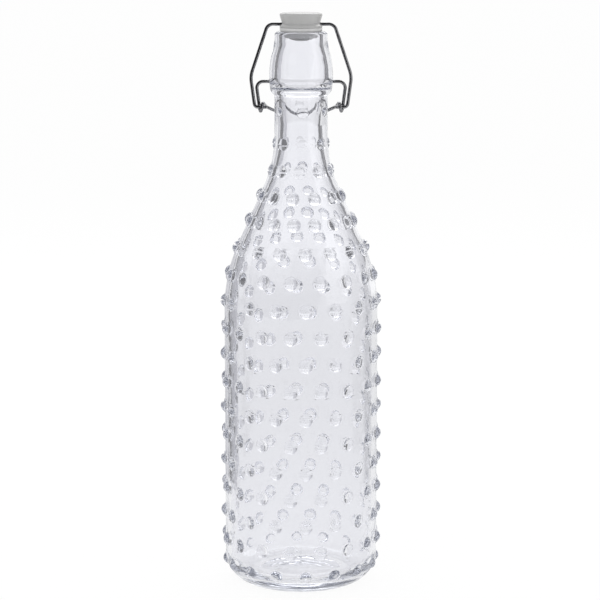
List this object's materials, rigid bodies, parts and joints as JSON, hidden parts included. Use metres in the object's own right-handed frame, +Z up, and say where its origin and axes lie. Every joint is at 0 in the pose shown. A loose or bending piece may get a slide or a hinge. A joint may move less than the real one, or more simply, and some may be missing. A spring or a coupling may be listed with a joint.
{
  "type": "swing top bottle",
  "caption": "Clear glass bottle with rows of round nubs and a swing top: a stopper with a gasket on a wire bail, clamped by a wire lever behind the neck",
  "frame": {"origin": "on the bottle's axis, on the surface that it stands on", "axes": "+Z up along the bottle's axis, -Y towards the user, +Y towards the lever's loop, +X to the user's right"},
  "size_m": [0.0878, 0.0878, 0.3116],
  "materials": {
    "glass": "clear and polished",
    "stopper": "smooth white",
    "gasket": "milky",
    "wire": "bright drawn wire"
  },
  "bodies": {
    "bottle": {"bottle": "glass", "hobnails": "glass"},
    "lever": {"lever": "wire"},
    "bail": {"bail": "wire"},
    "stopper": {"stopper": "stopper", "gasket": "gasket"}
  },
  "joints": [
    {"name": "lever_throw", "type": "hinge", "parent": "bottle", "child": "lever", "pos_m": [0, 0, 0.27475], "axis": [1, 0, 0], "range_deg": [0, 104]},
    {"name": "bail_swing", "type": "hinge", "parent": "lever", "child": "bail", "pos_m": [0, -0.00072, 0.26107], "axis": [1, 0, 0], "range_deg": [-73, 0]},
    {"name": "stopper_tilt", "type": "hinge", "parent": "bail", "child": "stopper", "pos_m": [0, 0, 0.30525], "axis": [1, 0, 0], "range_deg": [-31.5, 0]}
  ],
  "couplings": [
    {"joint": "bail_swing", "follows": "lever_throw", "ratio": -0.7},
    {"joint": "stopper_tilt", "follows": "lever_throw", "ratio": -0.3}
  ]
}
